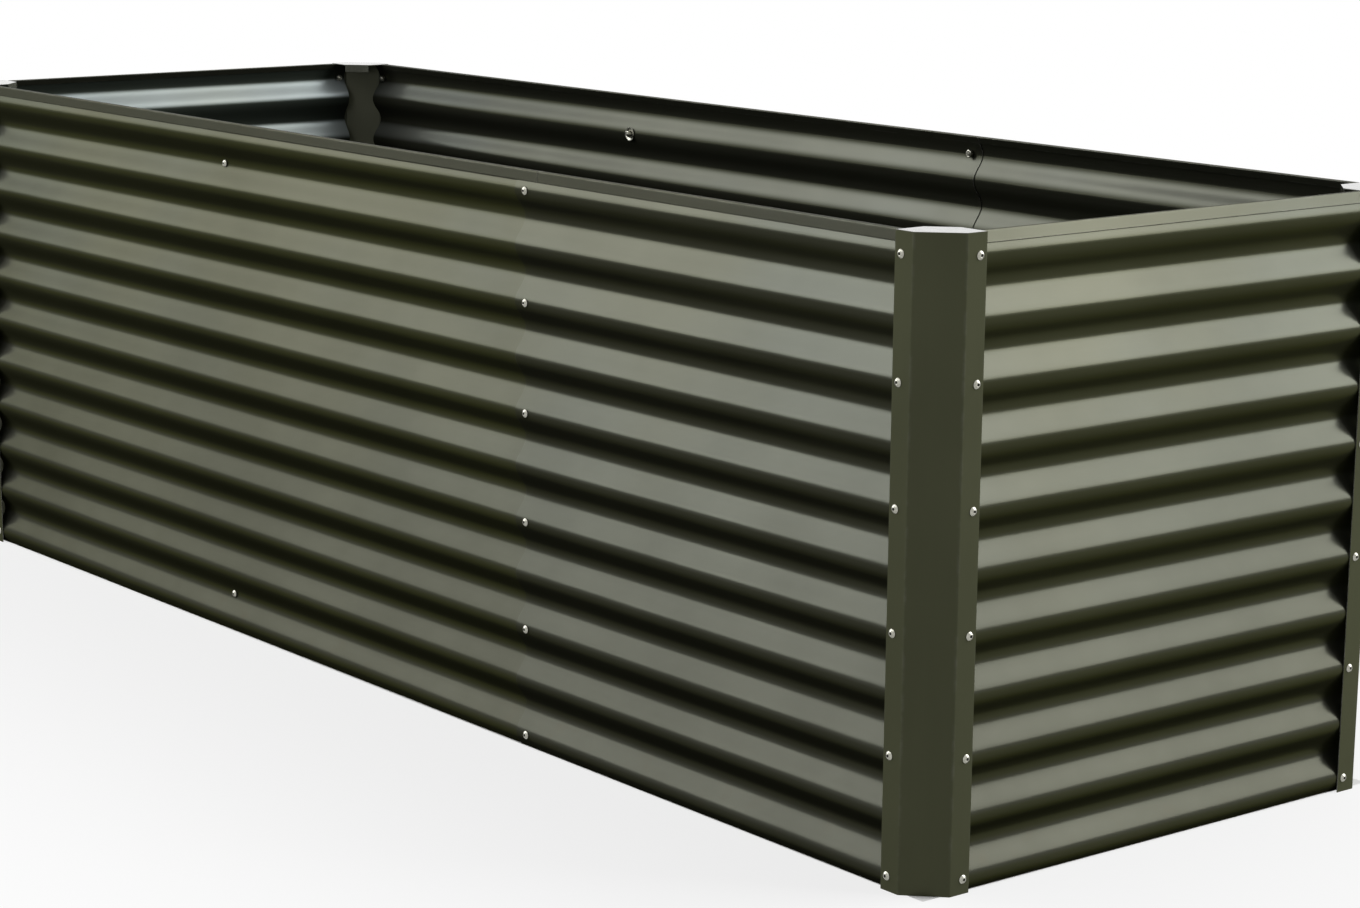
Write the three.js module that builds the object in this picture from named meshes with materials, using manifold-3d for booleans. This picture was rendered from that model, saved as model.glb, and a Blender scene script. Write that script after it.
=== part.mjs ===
// Raised garden bed of corrugated steel sheet: four chamfered corner posts, six lapped
// wall sheets, a folded capping on the top edges, a cap on each post, and the bolts,
// nuts and washers that hold them together. It is open at the top and at the bottom.
//
// Units are millimetres, +Z is up, and the origin is at the middle of the footprint on
// the ground. The long walls run along X. The front wall faces -Y, the right end faces +X.
import * as THREE from "three";
import { mergeGeometries, mergeVertices } from "three/addons/utils/BufferGeometryUtils.js";
import Module from "manifold-3d";

// ---------- driving dimensions ----------

// overall size over the outer faces of the posts
const LENGTH = 2400;
const WIDTH = 800;
const HEIGHT = 780;

// running clearance between pieces that meet
const GAP = 0.3;

// points closer than this are one corner of a solid
const SAME_POINT = 1e-4;

// corrugated sheet
const PITCH = 73.5;
const WAVE_DEPTH = 17;
const SHEET_T = 0.8;
const TOP_CREST_DROP = 26.6; // from the top of the bed down to the first crest
const STEPS_PER_PITCH = 8;
const LEAST_STEP = 1 / 3; // share of a step left between the bottom edge and the first step
const SHEET_SETBACK = 7; // from a post's fold to the end of a sheet

// lap of the two sheets of a long wall
const SEAM_X = 410;
const LAP = 45;

// corner post: two flanges joined by a chamfer
const POST_T = 1.2;
const FLANGE = 30;
const CHAMFER = 43; // leg of the chamfer, measured along each wall
const POST_BEND_R = 3;
const BEND_STEPS = 3;

// cap on a post
const CAP_T = 1.5;
const CAP_SKIRT = 13;
const CAP_INNER_CUT = 30; // leg of the cut across the corner that points into the bed

// folded capping on the top edge of the sheets
const RIM_T = 0.7;
const RIM_OUTER_LEG = 13;
const RIM_INNER_LEG = 11;
const RIM_BEND_R = 1;
const RIM_EASE = 0.9; // room inside the capping beyond the two sheets of a lap
const RIM_JOINT = 0.8; // opening between two lengths of capping

// fasteners
const BOLT_R = 3;
const HEAD_R = 5.5;
const HEAD_H = 3.2;
const NUT_FLATS = 10;
const NUT_H = 5;
const BOLT_TAIL = 2; // thread that stands out past the nut
const BOLT_TO_FOLD = 20; // from a post's fold to the bolts in its flange
const HEAD_SHOULDER = 0.75; // share of the head's radius and height where its dome turns over
const BOLT_SIDES = 8;
const NUT_SIDES = 6;
const BORE_SIDES = 6;
const WASHER_SIDES = 12;
const CRESTS_PER_BOLT = 2;
const BOTTOM_MARGIN = 12; // no bolt sits lower than this

// tie bolts through the long walls, in the first and the last valley
const TIE_X = -380;
const WASHER_R = 11;
const WASHER_T = 1.5;

// ---------- sizes that follow ----------

const step = PITCH / STEPS_PER_PITCH;
const topCrestZ = HEIGHT - TOP_CREST_DROP;
const crestFace = -POST_T - GAP; // crests of the sheets, measured from a post's outer face
const waveSlope = Math.atan((Math.PI * WAVE_DEPTH) / PITCH);
const lapShift = (SHEET_T + GAP) / Math.cos(waveSlope);
const boltBore = (BOLT_R + GAP) / Math.cos(Math.PI / BORE_SIDES);
const nutCorner = NUT_FLATS / 2 / Math.cos(Math.PI / NUT_SIDES);

const boltCrests = [];
for (let z = topCrestZ; z > BOTTOM_MARGIN; z -= CRESTS_PER_BOLT * PITCH) boltCrests.push(z);

const crestCount = Math.floor((topCrestZ - BOTTOM_MARGIN) / PITCH) + 1;
const bottomCrestZ = topCrestZ - (crestCount - 1) * PITCH;
const tieHeights = [topCrestZ - PITCH / 2, bottomCrestZ + PITCH / 2];

// How far the outer face of a sheet lies behind its crests, at a height from a crest.
function waveDepth(fromCrest) {
  return (WAVE_DEPTH / 2) * (1 - Math.cos((2 * Math.PI * fromCrest) / PITCH));
}

// How far a flat round face of this radius stands off the hollow side of a wave.
function hollowStandoff(radius) {
  return (waveDepth(step) * radius) / step;
}

// Direction of the sheet's face at a height from a crest, as the outward normal.
function waveNormal(fromCrest) {
  const slope = ((Math.PI * WAVE_DEPTH) / PITCH) * Math.sin((2 * Math.PI * fromCrest) / PITCH);
  const length = Math.hypot(1, slope);
  return new THREE.Vector2(1 / length, slope / length);
}

// ---------- materials ----------

const paint = new THREE.MeshStandardMaterial({ color: 0x4a4d3e, roughness: 0.35, metalness: 0.2 });
const postPaint = new THREE.MeshStandardMaterial({ color: 0x3d4033, roughness: 0.4, metalness: 0.2 });
const capFinish = new THREE.MeshStandardMaterial({ color: 0x464a40, roughness: 0.15, metalness: 0.2 });
const zinc = new THREE.MeshStandardMaterial({ color: 0xb9bbb6, roughness: 0.3, metalness: 0.9 });

// ---------- shapes ----------

// A solid with the given section, standing on the XY plane.
function prism(points, height) {
  return new THREE.ExtrudeGeometry(new THREE.Shape(points), { depth: height, bevelEnabled: false });
}

// A wall piece whose section lies in X (outward) and Z (up), running along Y between two ends.
function alongWall(section, from, to) {
  const geometry = prism(section, to - from);
  geometry.rotateX(Math.PI / 2);
  geometry.translate(0, to, 0);
  return geometry;
}

// Section of a strip folded from sheet metal. The path is its outer face, with sharp
// corners that turn left; each becomes a bend of the given outer radius.
function foldedSection(path, thickness, radius) {
  const outer = [];
  const inner = [];
  const put = (centre, normal, outerReach, innerReach) => {
    outer.push(centre.clone().addScaledVector(normal, outerReach));
    inner.push(centre.clone().addScaledVector(normal, innerReach));
  };
  const normals = [];
  for (let i = 0; i + 1 < path.length; i++) {
    const along = path[i + 1].clone().sub(path[i]).normalize();
    normals.push(new THREE.Vector2(along.y, -along.x));
  }
  put(path[0], normals[0], 0, -thickness);
  for (let i = 1; i + 1 < path.length; i++) {
    const start = normals[i - 1].angle();
    const turn = Math.asin(normals[i - 1].cross(normals[i]));
    const middle = normals[i - 1].clone().add(normals[i]).normalize();
    const centre = path[i].clone().addScaledVector(middle, -radius / Math.cos(turn / 2));
    for (let k = 0; k <= BEND_STEPS; k++) {
      const angle = start + (turn * k) / BEND_STEPS;
      const normal = new THREE.Vector2(Math.cos(angle), Math.sin(angle));
      put(centre, normal, radius, radius - thickness);
    }
  }
  put(path[path.length - 1], normals[normals.length - 1], 0, -thickness);
  return outer.concat(inner.reverse());
}

// ---------- joining and cutting ----------

const wasm = await Module();
wasm.setup();

function toSolid(geometry) {
  const bare = geometry.clone();
  bare.deleteAttribute("normal");
  bare.deleteAttribute("uv");
  const merged = mergeVertices(bare, SAME_POINT);
  const vertProperties = new Float32Array(merged.attributes.position.array);
  const triVerts = new Uint32Array(merged.index.array);
  return new wasm.Manifold(new wasm.Mesh({ numProp: 3, vertProperties, triVerts }));
}

function toGeometry(solid) {
  const mesh = solid.getMesh();
  const geometry = new THREE.BufferGeometry();
  geometry.setAttribute("position", new THREE.BufferAttribute(mesh.vertProperties, 3));
  geometry.setIndex(new THREE.BufferAttribute(mesh.triVerts, 1));
  const faceted = geometry.toNonIndexed();
  faceted.computeVertexNormals();
  return faceted;
}

function cut(geometry, cutters) {
  return toGeometry(toSolid(geometry).subtract(toSolid(mergeGeometries(cutters))));
}

// A round cutter along X through a wall, clear of a bolt's thread.
function boltHole(x, y, z) {
  const hole = new THREE.CylinderGeometry(boltBore, boltBore, WAVE_DEPTH, BORE_SIDES);
  return hole.rotateZ(Math.PI / 2).translate(x, y, z);
}

// ---------- fasteners, along X with the head outward ----------

// Domed head and shank. The head's flat side is at x = 0.
function boltGeometry(grip) {
  const tip = -grip - NUT_H - BOLT_TAIL;
  const profile = [
    new THREE.Vector2(0, tip),
    new THREE.Vector2(BOLT_R, tip),
    new THREE.Vector2(BOLT_R, 0),
    new THREE.Vector2(HEAD_R, 0),
    new THREE.Vector2(HEAD_SHOULDER * HEAD_R, HEAD_SHOULDER * HEAD_H),
    new THREE.Vector2(0, HEAD_H),
  ];
  return new THREE.LatheGeometry(profile, BOLT_SIDES).rotateZ(-Math.PI / 2);
}

// A flat ring whose outer face is at x = 0, with a bore that clears the thread.
function ringGeometry(radius, sides, thickness) {
  const profile = [
    new THREE.Vector2(boltBore, -thickness),
    new THREE.Vector2(radius, -thickness),
    new THREE.Vector2(radius, 0),
    new THREE.Vector2(boltBore, 0),
    new THREE.Vector2(boltBore, -thickness),
  ];
  return new THREE.LatheGeometry(profile, sides).rotateZ(-Math.PI / 2);
}

const nutGeometry = () => ringGeometry(nutCorner, NUT_SIDES, NUT_H);
const washerGeometry = () => ringGeometry(WASHER_R, WASHER_SIDES, WASHER_T);

// A bolt of a post with its nut, made to be joined to a flange whose outer face is at x = 0.
function fixedBolt(grip) {
  const root = -POST_T / 2;
  const head = [
    new THREE.Vector2(0, root),
    new THREE.Vector2(HEAD_R, root),
    new THREE.Vector2(HEAD_R, 0),
    new THREE.Vector2(HEAD_SHOULDER * HEAD_R, HEAD_SHOULDER * HEAD_H),
    new THREE.Vector2(0, HEAD_H),
  ];
  const nutAndShank = [
    new THREE.Vector2(0, -grip - NUT_H),
    new THREE.Vector2(nutCorner, -grip - NUT_H),
    new THREE.Vector2(nutCorner, -grip),
    new THREE.Vector2(BOLT_R, -grip),
    new THREE.Vector2(BOLT_R, root),
    new THREE.Vector2(0, root),
  ];
  const domed = toSolid(new THREE.LatheGeometry(head, BOLT_SIDES).rotateZ(-Math.PI / 2));
  const inside = toSolid(new THREE.LatheGeometry(nutAndShank, NUT_SIDES).rotateZ(-Math.PI / 2));
  return toGeometry(domed.add(inside));
}

// ---------- the model ----------

const bed = new THREE.Group();

function addPiece(parent, name, geometry, material) {
  const mesh = new THREE.Mesh(geometry, material);
  mesh.name = name;
  parent.add(mesh);
  return mesh;
}

// ----- corner posts and caps -----

const postFace = CHAMFER + FLANGE;
const postGrip = -crestFace + SHEET_T + hollowStandoff(nutCorner) + GAP;

// Section of a post whose sharp corner would be at the origin, with the bed towards -X and +Y.
function postSection() {
  const path = [
    new THREE.Vector2(-postFace, 0),
    new THREE.Vector2(-CHAMFER, 0),
    new THREE.Vector2(0, CHAMFER),
    new THREE.Vector2(0, postFace),
  ];
  return foldedSection(path, POST_T, POST_BEND_R);
}

// A post joined with the bolts and nuts in its two flanges, which are too many to be pieces
// of their own. The sheets have a clear hole round each.
function postGeometry() {
  let post = toSolid(prism(postSection(), HEIGHT));
  const boltAt = CHAMFER + BOLT_TO_FOLD;
  for (const z of boltCrests) {
    const inEnd = fixedBolt(postGrip).translate(0, boltAt, z);
    const inSide = fixedBolt(postGrip).translate(0, -boltAt, z).rotateZ(-Math.PI / 2);
    post = post.add(toSolid(inEnd)).add(toSolid(inSide));
  }
  return toGeometry(post);
}

// A plate that fills the top of a post. Its corner into the bed is cut off along the
// chamfer's direction, and a skirt hangs below that edge, clear of the sheets.
function capGeometry() {
  const edge = POST_T + GAP;
  const fold = CHAMFER + edge * Math.tan(Math.PI / 8);
  const cutStart = postFace - CAP_INNER_CUT;
  const inward = CAP_T / Math.SQRT2;
  const plate = [
    new THREE.Vector2(-postFace, edge),
    new THREE.Vector2(-fold, edge),
    new THREE.Vector2(-edge, fold),
    new THREE.Vector2(-edge, postFace),
    new THREE.Vector2(-cutStart, postFace),
    new THREE.Vector2(-postFace, cutStart),
  ];
  const skirt = [
    new THREE.Vector2(-cutStart, postFace),
    new THREE.Vector2(-postFace, cutStart),
    new THREE.Vector2(-postFace + inward, cutStart - inward),
    new THREE.Vector2(-cutStart + inward, postFace - inward),
  ];
  const top = prism(plate, CAP_T).translate(0, 0, HEIGHT - CAP_T);
  const wall = prism(skirt, CAP_SKIRT).translate(0, 0, HEIGHT - CAP_SKIRT);
  return toGeometry(toSolid(top).add(toSolid(wall)));
}

// A quarter turn brings the post drawn above, the front right one, to each other corner.
const corners = [
  { name: "front_right", x: LENGTH / 2, y: -WIDTH / 2, turn: 0 },
  { name: "back_right", x: LENGTH / 2, y: WIDTH / 2, turn: Math.PI / 2 },
  { name: "back_left", x: -LENGTH / 2, y: WIDTH / 2, turn: Math.PI },
  { name: "front_left", x: -LENGTH / 2, y: -WIDTH / 2, turn: -Math.PI / 2 },
];

for (const corner of corners) {
  const group = new THREE.Group();
  group.position.set(corner.x, corner.y, 0);
  group.rotation.z = corner.turn;
  addPiece(group, "post_" + corner.name, postGeometry(), postPaint);
  addPiece(group, "post_cap_" + corner.name, capGeometry(), capFinish);
  bed.add(group);
}

// ----- sheets -----

// Outer and inner face of a sheet, from the bottom edge up to the start of its straight lip.
function waveFaces() {
  const heights = [];
  for (let z = topCrestZ + step; z > LEAST_STEP * step; z -= step) heights.unshift(z);
  heights.unshift(0);
  const outer = [];
  const inner = [];
  for (const z of heights) {
    const point = new THREE.Vector2(crestFace - waveDepth(z - topCrestZ), z);
    outer.push(point);
    inner.push(point.clone().addScaledVector(waveNormal(z - topCrestZ), -SHEET_T));
  }
  inner[0].y = 0;
  return { outer, inner };
}

// The lip of a sheet goes straight on from the wave, and the capping clasps it. These are
// the capping's own directions, across it and up it, and where the middle of its top lies.
const across = waveNormal(step);
const up = new THREE.Vector2(-across.y, across.x);
const rimInside = SHEET_T + lapShift * across.x + RIM_EASE;
const rimWidth = rimInside + 2 * RIM_T;
const rimTopRise = (rimWidth / 2 - RIM_BEND_R) * across.y + RIM_BEND_R * (1 - across.x);
const lipStart = new THREE.Vector2(crestFace - waveDepth(step), topCrestZ + step);
const lipOffset = rimWidth / 2 - RIM_T - GAP;
const rimReach = (HEIGHT - rimTopRise - lipStart.y + lipOffset * across.y) / up.y;
const rimTop = lipStart.clone().addScaledVector(up, rimReach).addScaledVector(across, -lipOffset);

// A sheet ends just below the caps of the posts, inside the capping.
function sheetSection() {
  const { outer, inner } = waveFaces();
  const lipLength = (HEIGHT - CAP_T - GAP - lipStart.y) / up.y;
  const outerTip = lipStart.clone().addScaledVector(up, lipLength);
  const innerTip = outerTip.clone().addScaledVector(across, -SHEET_T);
  return [...inner, innerTip, outerTip, ...outer.reverse()];
}

// A sheet between two places along its wall. Its far end leans in by the shift, so that
// it can pass behind the next sheet at a lap.
function sheetGeometry(face, from, to, shift) {
  const geometry = alongWall(sheetSection(), Math.min(from, to), Math.max(from, to));
  const position = geometry.attributes.position;
  for (let i = 0; i < position.count; i++) {
    const share = (position.getY(i) - from) / (to - from);
    position.setX(i, position.getX(i) + face - share * shift);
  }
  return geometry;
}

// Holes at the crests that take the bolts of a post or a seam.
function crestHoles(face, along) {
  return boltCrests.map((z) => boltHole(face + crestFace, along, z));
}

// A length of capping between two places along its wall.
function rimGeometry(face, from, to) {
  const corner = (side, drop) =>
    rimTop.clone().addScaledVector(across, (side * rimWidth) / 2).addScaledVector(up, -drop);
  const path = [corner(1, RIM_OUTER_LEG), corner(1, 0), corner(-1, 0), corner(-1, RIM_INNER_LEG)];
  const section = foldedSection(path, RIM_T, RIM_BEND_R);
  return alongWall(section, Math.min(from, to), Math.max(from, to)).translate(face, 0, 0);
}

// ----- walls, each drawn with X outward and Y along it, and turned into place -----

function addWall(turn) {
  const group = new THREE.Group();
  group.rotation.z = turn;
  bed.add(group);
  return group;
}

function addEnd(name, turn) {
  const wall = addWall(turn);
  const face = LENGTH / 2;
  const half = WIDTH / 2 - CHAMFER - SHEET_SETBACK;
  const boltAt = WIDTH / 2 - CHAMFER - BOLT_TO_FOLD;
  const rimHalf = WIDTH / 2 - postFace - RIM_JOINT;
  const holes = [...crestHoles(face, boltAt), ...crestHoles(face, -boltAt)];
  addPiece(wall, name + "_end_sheet", cut(sheetGeometry(face, -half, half, 0), holes), paint);
  addPiece(wall, name + "_end_capping", rimGeometry(face, -rimHalf, rimHalf), paint);
}

// A long side has a short sheet that laps over a long one. Places along it are given as
// distances towards the bed's right end.
function addSide(name, turn, toRight) {
  const wall = addWall(turn);
  const face = WIDTH / 2;
  const half = LENGTH / 2 - CHAMFER - SHEET_SETBACK;
  const boltAt = LENGTH / 2 - CHAMFER - BOLT_TO_FOLD;
  const shortEnd = SEAM_X - LAP / 2;
  const longEnd = SEAM_X + LAP / 2;
  const place = (x) => x * toRight;

  // the long sheet's lean, from nothing at its post to a full sheet's thickness at the lap
  const lean = lapShift / (shortEnd + half);
  const leanAt = (x) => lean * (x + half);

  const tieHoles = tieHeights.map((z) => boltHole(face + crestFace - WAVE_DEPTH, place(TIE_X), z));
  const seamHoles = crestHoles(face, place(SEAM_X));
  const shortHoles = [...crestHoles(face, place(boltAt)), ...seamHoles];
  const longHoles = [...crestHoles(face, place(-boltAt)), ...seamHoles, ...tieHoles];
  const shortSheet = sheetGeometry(face, place(half), place(shortEnd), 0);
  const longSheet = sheetGeometry(face, place(-half), place(longEnd), leanAt(longEnd));
  addPiece(wall, name + "_short_sheet", cut(shortSheet, shortHoles), paint);
  addPiece(wall, name + "_long_sheet", cut(longSheet, longHoles), paint);

  const rimHalf = LENGTH / 2 - postFace - RIM_JOINT;
  const shortRim = rimGeometry(face, place(rimHalf), place(longEnd + RIM_JOINT));
  const longRim = rimGeometry(face, place(-rimHalf), place(longEnd));
  addPiece(wall, name + "_short_capping", shortRim, paint);
  addPiece(wall, name + "_long_capping", longRim, paint);

  addSeamBolts(wall, name, face + crestFace, place(SEAM_X), leanAt(SEAM_X));
  addTieBolts(wall, name, face + crestFace - WAVE_DEPTH - leanAt(TIE_X), place(TIE_X));
}

// Bolts through both sheets of a lap, on the crests.
function addSeamBolts(wall, name, crest, along, lean) {
  const head = crest + GAP;
  const grip = GAP + lean + SHEET_T + hollowStandoff(nutCorner) + GAP;
  boltCrests.forEach((z, i) => {
    const bolt = addPiece(wall, name + "_seam_bolt_" + (i + 1), boltGeometry(grip), zinc);
    const nut = addPiece(wall, name + "_seam_nut_" + (i + 1), nutGeometry(), zinc);
    bolt.position.set(head, along, z);
    nut.position.set(head - grip, along, z);
  });
}

// Bolts through a valley, each with a broad washer under its nut inside the bed.
function addTieBolts(wall, name, valley, along) {
  const head = valley + hollowStandoff(HEAD_R) + GAP;
  const washerFace = valley - SHEET_T - GAP;
  const nutFace = washerFace - WASHER_T - GAP;
  tieHeights.forEach((z, i) => {
    const level = ["_upper", "_lower"][i];
    const bolt = addPiece(wall, name + "_tie_bolt" + level, boltGeometry(head - nutFace), zinc);
    const washer = addPiece(wall, name + "_tie_washer" + level, washerGeometry(), zinc);
    const nut = addPiece(wall, name + "_tie_nut" + level, nutGeometry(), zinc);
    bolt.position.set(head, along, z);
    washer.position.set(washerFace, along, z);
    nut.position.set(nutFace, along, z);
  });
}

addEnd("right", 0);
addEnd("left", Math.PI);
addSide("front", -Math.PI / 2, 1);
addSide("back", Math.PI / 2, -1);

export default bed;
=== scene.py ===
"""The looks of a raised garden bed of painted corrugated steel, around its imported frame.

Units are metres, +Z is up, and everything lies in the frame's own axes. Each piece of
sheet metal is swept again with fine waves and bends, and the bolts, nuts and washers get
their sockets, chamfers and threads.
"""

import math
import random

import bmesh
import bpy
import numpy as np
from mathutils import Matrix, Vector


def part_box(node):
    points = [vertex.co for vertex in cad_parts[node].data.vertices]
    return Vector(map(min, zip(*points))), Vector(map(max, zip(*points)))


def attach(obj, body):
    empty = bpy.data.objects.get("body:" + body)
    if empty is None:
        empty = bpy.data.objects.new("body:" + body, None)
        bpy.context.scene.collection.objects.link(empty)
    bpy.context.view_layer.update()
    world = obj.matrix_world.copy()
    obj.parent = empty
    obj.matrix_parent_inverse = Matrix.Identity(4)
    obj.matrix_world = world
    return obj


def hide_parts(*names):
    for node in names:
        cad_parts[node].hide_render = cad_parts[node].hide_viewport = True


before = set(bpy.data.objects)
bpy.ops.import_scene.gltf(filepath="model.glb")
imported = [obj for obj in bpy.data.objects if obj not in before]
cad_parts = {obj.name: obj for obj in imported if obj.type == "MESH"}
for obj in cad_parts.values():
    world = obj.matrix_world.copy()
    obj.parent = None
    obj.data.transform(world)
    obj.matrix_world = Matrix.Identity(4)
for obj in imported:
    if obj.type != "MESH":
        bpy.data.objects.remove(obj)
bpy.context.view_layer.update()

MM = 0.001
random.seed(7)

# ---------- sizes ----------

# corrugated sheet
PITCH = 73.5 * MM
WAVE_DEPTH = 17 * MM
SHEET_T = 0.8 * MM
LIP_RISE = PITCH / 8  # from the top crest up to where the sheet goes on straight
GAP = 0.3 * MM

# posts
POST_T = 1.2 * MM
POST_FLANGE = 30 * MM
POST_CHAMFER = 43 * MM
POST_BEND_R = 3 * MM
BOLT_TO_FOLD = 20 * MM

# caps
CAP_T = 1.5 * MM
CAP_SKIRT = 13 * MM
CAP_INNER_CUT = 30 * MM
CAP_ROUNDING = 0.35 * MM

# capping
RIM_T = 0.7 * MM
RIM_INNER_LEG = 11 * MM
RIM_BEND_R = 1 * MM
RIM_PROUD = 1.8 * MM  # how far the outer leg's foot stands off past its node
RIM_DROP = 2 * MM  # and how far it goes below it
RIM_LEAN = {"front": 5, "back": 5, "right": 20, "left": 20}  # degrees, of the outer leg

# fasteners
BOLT_R = 3 * MM
HEAD_R = 5.5 * MM
HEAD_H = 3.2 * MM
HEAD_RIM = 0.6 * MM
SOCKET_FLATS = 3.5 * MM
SOCKET_DEPTH = 1.5 * MM
THREAD_PITCH = 1 * MM
THREAD_DEPTH = 0.45 * MM
THREADED = 5 * MM
NUT_FLATS = 10 * MM
NUT_H = 5 * MM
BOLT_TAIL = 2 * MM
WASHER_R = 11 * MM
WASHER_T = 1.5 * MM
POST_GRIP = 4.2 * MM
CRESTS_PER_BOLT = 2
BOTTOM_MARGIN = 12 * MM  # below which a crest takes no bolt

# fineness of the meshes
ROWS_PER_PITCH = 28
STATION = 25 * MM
EDGE_BAND = 2 * MM  # how far wear reaches from an edge or a bend
BEND_STEPS = 8
TURN_STEPS = 36
THREAD_ROWS = 6

# how far the thin sheets stray from a true wave, over what lengths and heights, and how far
# from their ends and the top crest they start to
BUCKLE = 0.3 * MM
BUCKLE_WAVES = ((0.9, 0.31), (0.47, 0.52), (0.23, 0.21), (0.13, 0.37))
BUCKLE_CLEAR = 70 * MM

# the lean of a long sheet, which takes its end behind the short one
WAVE_SLOPE = math.atan(math.pi * WAVE_DEPTH / PITCH)
LAP_SHIFT = (SHEET_T + GAP) / math.cos(WAVE_SLOPE)

# what the frame gives
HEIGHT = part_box("post_front_right")[1].z
LENGTH_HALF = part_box("right_end_sheet")[1].x + POST_T + GAP
WIDTH_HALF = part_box("back_short_sheet")[1].y + POST_T + GAP
TOP_CREST = sum(corner.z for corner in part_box("front_seam_bolt_1")) / 2
BOLT_LEVELS = np.arange(TOP_CREST, BOTTOM_MARGIN, -CRESTS_PER_BOLT * PITCH)

WALLS = {
    "front": Vector((0, -1, 0)),
    "right": Vector((1, 0, 0)),
    "back": Vector((0, 1, 0)),
    "left": Vector((-1, 0, 0)),
}
UP = Vector((0, 0, 1))
# how far each wall's outer line lies from the middle of the bed
WALL_LINE = {"front": WIDTH_HALF, "back": WIDTH_HALF, "left": LENGTH_HALF, "right": LENGTH_HALF}


# ---------- node materials ----------

RANGE_SOCKETS = ("From Min", "From Max", "To Min", "To Max")


class Finish:
    """A node material with a Principled shader, and short ways to wire its textures."""

    def __init__(self, name, **values):
        self.material = bpy.data.materials.new(name)
        self.material.use_nodes = True
        self.nodes = self.material.node_tree.nodes
        self.links = self.material.node_tree.links
        self.shader = self.nodes["Principled BSDF"]
        for socket, value in values.items():
            self.shader.inputs[socket.replace("_", " ")].default_value = value
        self.place = self.nodes.new("ShaderNodeTexCoord").outputs["Object"]

    def link(self, source, target):
        self.links.new(source, target)

    def put(self, socket, source):
        self.link(source, self.shader.inputs[socket])

    def noise(self, scale, detail=3.0, stretch=(1, 1, 1), roughness=0.5):
        mapping = self.nodes.new("ShaderNodeMapping")
        mapping.inputs["Scale"].default_value = stretch
        self.link(self.place, mapping.inputs["Vector"])
        texture = self.nodes.new("ShaderNodeTexNoise")
        texture.inputs["Scale"].default_value = scale
        texture.inputs["Detail"].default_value = detail
        texture.inputs["Roughness"].default_value = roughness
        self.link(mapping.outputs["Vector"], texture.inputs["Vector"])
        return texture.outputs["Fac"]

    def spread(self, source, low, high, to_low=0.0, to_high=1.0):
        node = self.nodes.new("ShaderNodeMapRange")
        node.interpolation_type = "SMOOTHSTEP"
        self.link(source, node.inputs["Value"])
        for socket, value in zip(RANGE_SOCKETS, (low, high, to_low, to_high)):
            node.inputs[socket].default_value = value
        return node.outputs["Result"]

    def math(self, operation, first, second):
        node = self.nodes.new("ShaderNodeMath")
        node.operation = operation
        for socket, value in zip(node.inputs, (first, second)):
            if isinstance(value, (int, float)):
                socket.default_value = value
            else:
                self.link(value, socket)
        return node.outputs[0]

    def mix(self, factor, first, second):
        node = self.nodes.new("ShaderNodeMix")
        node.data_type = "RGBA"
        self.link(factor, node.inputs["Factor"])
        for socket, value in zip((node.inputs[6], node.inputs[7]), (first, second)):
            if isinstance(value, tuple):
                socket.default_value = (*value, 1)
            else:
                self.link(value, socket)
        return node.outputs[2]

    def stain(self, colour, mask, strength, tint):
        """Lets a tint through over a colour, where the mask says and as far as its strength."""
        return self.mix(self.math("MULTIPLY", mask, strength), colour, tint)

    def blotches(self, scale, detail, low, high):
        return self.spread(self.noise(scale, detail), low, high)

    def attribute(self, name):
        node = self.nodes.new("ShaderNodeAttribute")
        node.attribute_name = name
        return node.outputs["Fac"]

    def height(self):
        node = self.nodes.new("ShaderNodeSeparateXYZ")
        self.link(self.place, node.inputs["Vector"])
        return node.outputs["Z"]

    def facing_up(self):
        geometry = self.nodes.new("ShaderNodeNewGeometry")
        node = self.nodes.new("ShaderNodeSeparateXYZ")
        self.link(geometry.outputs["Normal"], node.inputs["Vector"])
        return node.outputs["Z"]

    def bump(self, source, depth, under=None):
        node = self.nodes.new("ShaderNodeBump")
        node.inputs["Distance"].default_value = depth
        self.link(source, node.inputs["Height"])
        if under is not None:
            self.link(under, node.inputs["Normal"])
        return node.outputs["Normal"]


# how much of the paint's shine is metallic, and how dark that part turns at a grazing angle
METAL_SHARE = 0.38
EDGE_TINT = (0.2, 0.2, 0.2, 1)
# how deep the paint is where it faces down, next to where it faces the sky: a painted shade on
# the undersides, which also stands in for a painted reflection of the dark surroundings that such paint
# mirrors
UNDERSIDE_SHADE = (0.6, 0.615, 0.43)
SHORT_UNDERSIDE_SHADE = (0.47, 0.47, 0.4)
INNER_UNDERSIDE_SHADE = (0.3, 0.3, 0.25)
INNER_END_UNDERSIDE_SHADE = (0.12, 0.13, 0.11)
NO_UNDERSIDE_SHADE = (1.0, 1.0, 1.0)
# the slopes between which the painted underside shade gives way to the plain tone: of the walls' outsides,
# and of their insides
OUTER_SLOPES = (-0.05, 0.42)
INNER_SLOPES = (0.18, 0.62)
INNER_END_SLOPES = (0.02, 0.5)
# how much lighter it is near the top, and how much darker near the ground
TONE_RAMP_HEIGHTS = (0.08, 0.76)
TONE_AT_FOOT = 0.7
TONE_AT_TOP = 1.2
# how its hue drifts along the walls
WARM = (1.01, 1.0, 0.97)
COOL = (0.985, 1.005, 1.05)
# how a grain is stretched along a wall, and up a post
ALONG = (0.05, 0.05, 1.0)
UPRIGHT = (1.0, 1.0, 0.05)
# its colours
SHEET_TONE = (0.102, 0.1045, 0.0815)
SHORT_TONE = (0.111, 0.1145, 0.0925)
INSIDE_TONE = (0.112, 0.117, 0.1)
# a lit copy of the inside tone for the ends' insides, nearly three times as light: painted light
INSIDE_END_LIT_TONE = (0.3, 0.332, 0.32)
RIM_TONE = (0.097, 0.099, 0.076)
POST_TONE = (0.096, 0.101, 0.0605)
# a lit copy of the post tone for the posts' inner faces, lighter as painted light where they lie in shade
POST_INSIDE_LIT_TONE = (0.15, 0.154, 0.113)
CAP_TONE = (0.085, 0.09, 0.062)
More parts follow.
